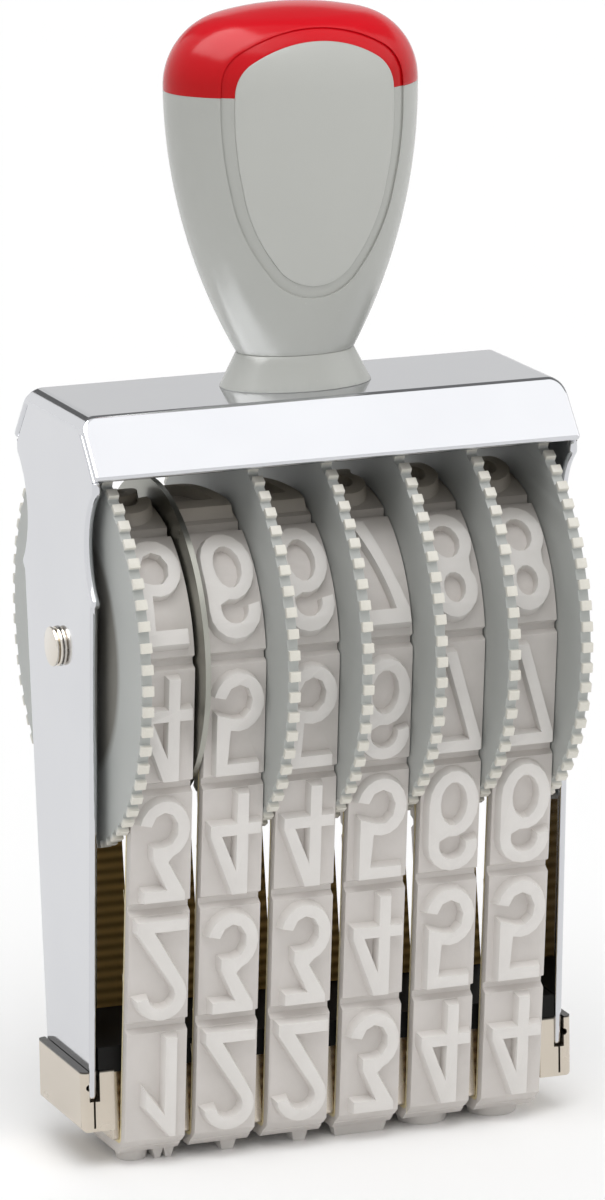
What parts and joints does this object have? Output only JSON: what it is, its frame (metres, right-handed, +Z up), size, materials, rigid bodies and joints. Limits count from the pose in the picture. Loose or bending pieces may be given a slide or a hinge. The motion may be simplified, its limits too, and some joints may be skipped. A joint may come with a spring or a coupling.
{
  "type": "numbering machine",
  "caption": "Hand number stamp: toothed thumb wheels turn grooved rubber number bands in a chromed folded housing under an oval palm grip.",
  "frame": {"origin": "on the printing plane, under the middle of the stamp", "axes": "+X along the axle to the user's right, -Y towards the user, +Z up"},
  "size_m": [0.0766, 0.0592, 0.1672],
  "materials": {
    "chrome": "polished",
    "nickel": "satin",
    "zinc": "satin",
    "black_plastic": "matte",
    "handle_grey": "satin",
    "panel_grey": "satin",
    "handle_red": "gloss",
    "wheel_plastic": "satin",
    "backing_fabric": "matte",
    "band_rubber": "matte"
  },
  "bodies": {
    "frame": {"housing": "chrome", "axle": "nickel", "axle_ring_left": "nickel", "axle_ring_right": "nickel", "spacer_washer_left": "nickel", "spacer_washer_right": "nickel", "separator_disc": "zinc", "bridge_channel": "nickel", "end_clip_left": "nickel", "end_clip_right": "nickel", "bridge_core": "black_plastic", "handle_collar": "handle_grey", "handle_body": "handle_grey", "handle_cap": "handle_red", "handle_panel_front": "panel_grey", "handle_panel_back": "panel_grey", "handle_screw": "zinc", "handle_washer": "zinc", "band_fabric_1": "backing_fabric", "band_rubber_1": "band_rubber", "band_fabric_2": "backing_fabric", "band_rubber_2": "band_rubber", "band_fabric_3": "backing_fabric", "band_rubber_3": "band_rubber", "band_fabric_4": "backing_fabric", "band_rubber_4": "band_rubber", "band_fabric_5": "backing_fabric", "band_rubber_5": "band_rubber", "band_fabric_6": "backing_fabric", "band_rubber_6": "band_rubber"},
    "wheel_1": {"number_wheel_1": "wheel_plastic"},
    "wheel_2": {"number_wheel_2": "wheel_plastic"},
    "wheel_3": {"number_wheel_3": "wheel_plastic"},
    "wheel_4": {"number_wheel_4": "wheel_plastic"},
    "wheel_5": {"number_wheel_5": "wheel_plastic"},
    "wheel_6": {"number_wheel_6": "wheel_plastic"}
  },
  "joints": [
    {"name": "turn_1", "type": "hinge", "parent": "frame", "child": "wheel_1", "pos_m": [0, 0, 0.0761], "axis": [1, 0, 0], "continuous": true},
    {"name": "turn_2", "type": "hinge", "parent": "frame", "child": "wheel_2", "pos_m": [0, 0, 0.0761], "axis": [1, 0, 0], "continuous": true},
    {"name": "turn_3", "type": "hinge", "parent": "frame", "child": "wheel_3", "pos_m": [0, 0, 0.0761], "axis": [1, 0, 0], "continuous": true},
    {"name": "turn_4", "type": "hinge", "parent": "frame", "child": "wheel_4", "pos_m": [0, 0, 0.0761], "axis": [1, 0, 0], "continuous": true},
    {"name": "turn_5", "type": "hinge", "parent": "frame", "child": "wheel_5", "pos_m": [0, 0, 0.0761], "axis": [1, 0, 0], "continuous": true},
    {"name": "turn_6", "type": "hinge", "parent": "frame", "child": "wheel_6", "pos_m": [0, 0, 0.0761], "axis": [1, 0, 0], "continuous": true}
  ]
}
